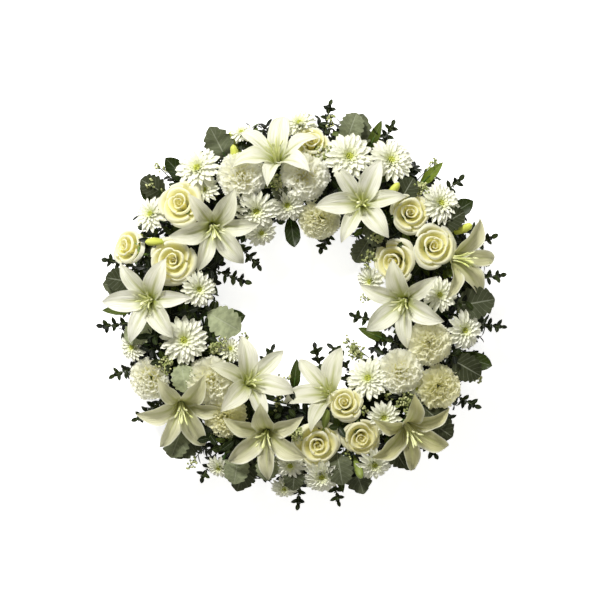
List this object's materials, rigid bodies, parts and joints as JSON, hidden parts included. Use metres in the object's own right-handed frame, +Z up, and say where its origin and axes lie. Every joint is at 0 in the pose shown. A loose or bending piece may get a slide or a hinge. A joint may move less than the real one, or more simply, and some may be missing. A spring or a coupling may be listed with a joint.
{
  "type": "funeral wreath",
  "caption": "Ring-shaped wreath of white lilies, roses, carnations and chrysanthemums with greenery, on wet foam in a ring tray, lying face up.",
  "frame": {"origin": "centre of the ring, on the flat underside of the tray", "axes": "+Z up out of the wreath's face, +Y towards the top of the wreath as displayed, +X to its right"},
  "size_m": [0.6048, 0.6041, 0.1632],
  "materials": {
    "tray": "matt dark green",
    "foam": "matt, wet",
    "lily": "satin",
    "rose": "satin",
    "carnation": "matt",
    "chrysanthemum": "satin",
    "foliage": "satin"
  },
  "bodies": {
    "root": {"tray": "tray", "foam_ring": "foam", "lily_01": "lily", "lily_02": "lily", "lily_03": "lily", "lily_04": "lily", "lily_05": "lily", "lily_06": "lily", "lily_07": "lily", "lily_08": "lily", "lily_09": "lily", "lily_10": "lily", "lily_11": "lily", "rose_01": "rose", "rose_02": "rose", "rose_03": "rose", "rose_04": "rose", "rose_05": "rose", "rose_06": "rose", "rose_07": "rose", "rose_08": "rose", "rose_09": "rose", "rose_10": "rose", "carnation_01": "carnation", "carnation_02": "carnation", "carnation_03": "carnation", "carnation_04": "carnation", "carnation_05": "carnation", "carnation_06": "carnation", "carnation_07": "carnation", "carnation_08": "carnation", "carnation_09": "carnation", "chrysanthemum_01": "chrysanthemum", "chrysanthemum_02": "chrysanthemum", "chrysanthemum_03": "chrysanthemum", "chrysanthemum_04": "chrysanthemum", "chrysanthemum_05": "chrysanthemum", "chrysanthemum_06": "chrysanthemum", "chrysanthemum_07": "chrysanthemum", "chrysanthemum_08": "chrysanthemum", "chrysanthemum_09": "chrysanthemum", "chrysanthemum_10": "chrysanthemum", "chrysanthemum_11": "chrysanthemum", "chrysanthemum_12": "chrysanthemum", "chrysanthemum_13": "chrysanthemum", "chrysanthemum_14": "chrysanthemum", "chrysanthemum_15": "chrysanthemum", "chrysanthemum_16": "chrysanthemum", "foliage_outer_01": "foliage", "foliage_outer_02": "foliage", "foliage_outer_03": "foliage", "foliage_outer_04": "foliage", "foliage_outer_05": "foliage", "foliage_outer_06": "foliage", "foliage_outer_07": "foliage", "foliage_inner_01": "foliage", "foliage_inner_02": "foliage", "foliage_inner_03": "foliage", "foliage_inner_04": "foliage"}
  },
  "joints": []
}
